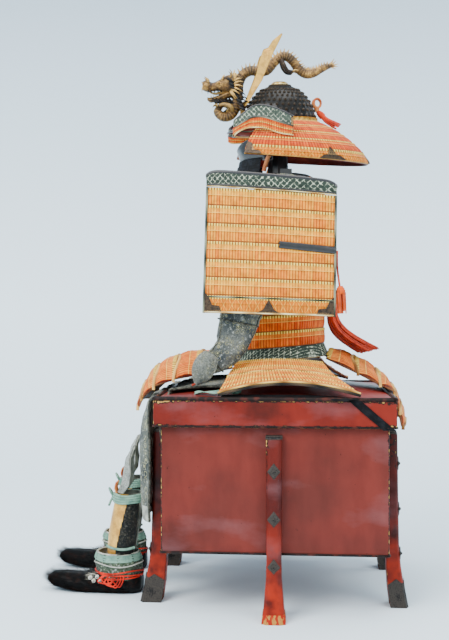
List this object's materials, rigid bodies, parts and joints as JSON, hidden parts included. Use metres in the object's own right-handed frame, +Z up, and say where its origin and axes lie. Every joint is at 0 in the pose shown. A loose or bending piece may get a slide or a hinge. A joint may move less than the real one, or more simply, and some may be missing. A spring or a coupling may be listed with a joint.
{
  "type": "samurai armour on an armour stand and a lacquered storage chest",
  "caption": "Laced samurai armour with crested helmet, seated on a wooden stand on its six-legged red lacquered chest, with sleeves, thigh guards, shin guards and fur boots.",
  "frame": {"origin": "on the floor, under the middle of the whole object's box", "axes": "the armour faces -Y, its left side is +X, +Z is up"},
  "size_m": [0.75, 0.984, 1.4974],
  "materials": {
    "red_lacquer": "worn red lacquer",
    "stand_wood": "black lacquered wood",
    "orange_lacing": "close silk lacing over lacquered scales",
    "printed_leather": "stencilled leather, green and white on grey",
    "black_iron": "black lacquered iron with studs",
    "gilt_metal": "dull gilding",
    "gilt_wood": "carved wood with worn gilding",
    "red_silk": "silk cord and tassels",
    "black_lacquer": "black lacquer",
    "black_fur": "long black bear fur",
    "black_cotton": "black cotton",
    "grey_brocade": "faded grey-blue brocade"
  },
  "bodies": {
    "root": {"helmet_bowl": "black_iron", "bowl_band": "gilt_metal", "crown_ring": "gilt_metal", "visor": "printed_leather", "neck_guard": "orange_lacing", "turnback_left": "printed_leather", "turnback_right": "printed_leather", "crest_horns": "gilt_metal", "dragon": "gilt_wood", "helmet_bow": "red_silk", "chest_body": "red_lacquer", "chest_lid": "red_lacquer", "chest_leg_front_left": "red_lacquer", "chest_leg_front_right": "red_lacquer", "chest_leg_back_left": "red_lacquer", "chest_leg_back_right": "red_lacquer", "chest_leg_side_left": "red_lacquer", "chest_leg_side_right": "red_lacquer", "armour_stand": "stand_wood", "cuirass_left": "orange_lacing", "cuirass_back": "orange_lacing", "cuirass_right": "orange_lacing", "cuirass_front": "orange_lacing", "breast_plate": "printed_leather", "shoulder_strap_left": "printed_leather", "shoulder_strap_right": "printed_leather", "hip_leather": "printed_leather", "tasset_left": "orange_lacing", "tasset_right": "orange_lacing", "tasset_front": "orange_lacing", "tasset_back": "orange_lacing", "shoulder_guard_left": "orange_lacing", "guard_cap_left": "printed_leather", "shoulder_guard_right": "orange_lacing", "guard_cap_right": "printed_leather", "chin_mask": "black_lacquer", "throat_guard": "black_lacquer", "chin_cord_left": "orange_lacing", "chin_cord_right": "orange_lacing", "back_bow": "red_silk", "guard_tassel_left": "red_silk", "guard_tassel_right": "red_silk", "sleeve_left": "grey_brocade", "hand_guard_left": "printed_leather", "sleeve_right": "grey_brocade", "hand_guard_right": "printed_leather", "thigh_guard_left": "grey_brocade", "thigh_guard_right": "grey_brocade", "shin_guard_left": "gilt_metal", "knee_guard_left": "grey_brocade", "ankle_cuff_left": "grey_brocade", "boot_left": "black_fur", "shin_guard_right": "gilt_metal", "knee_guard_right": "grey_brocade", "ankle_cuff_right": "grey_brocade", "boot_right": "black_fur", "waist_tie": "black_cotton"}
  },
  "joints": []
}
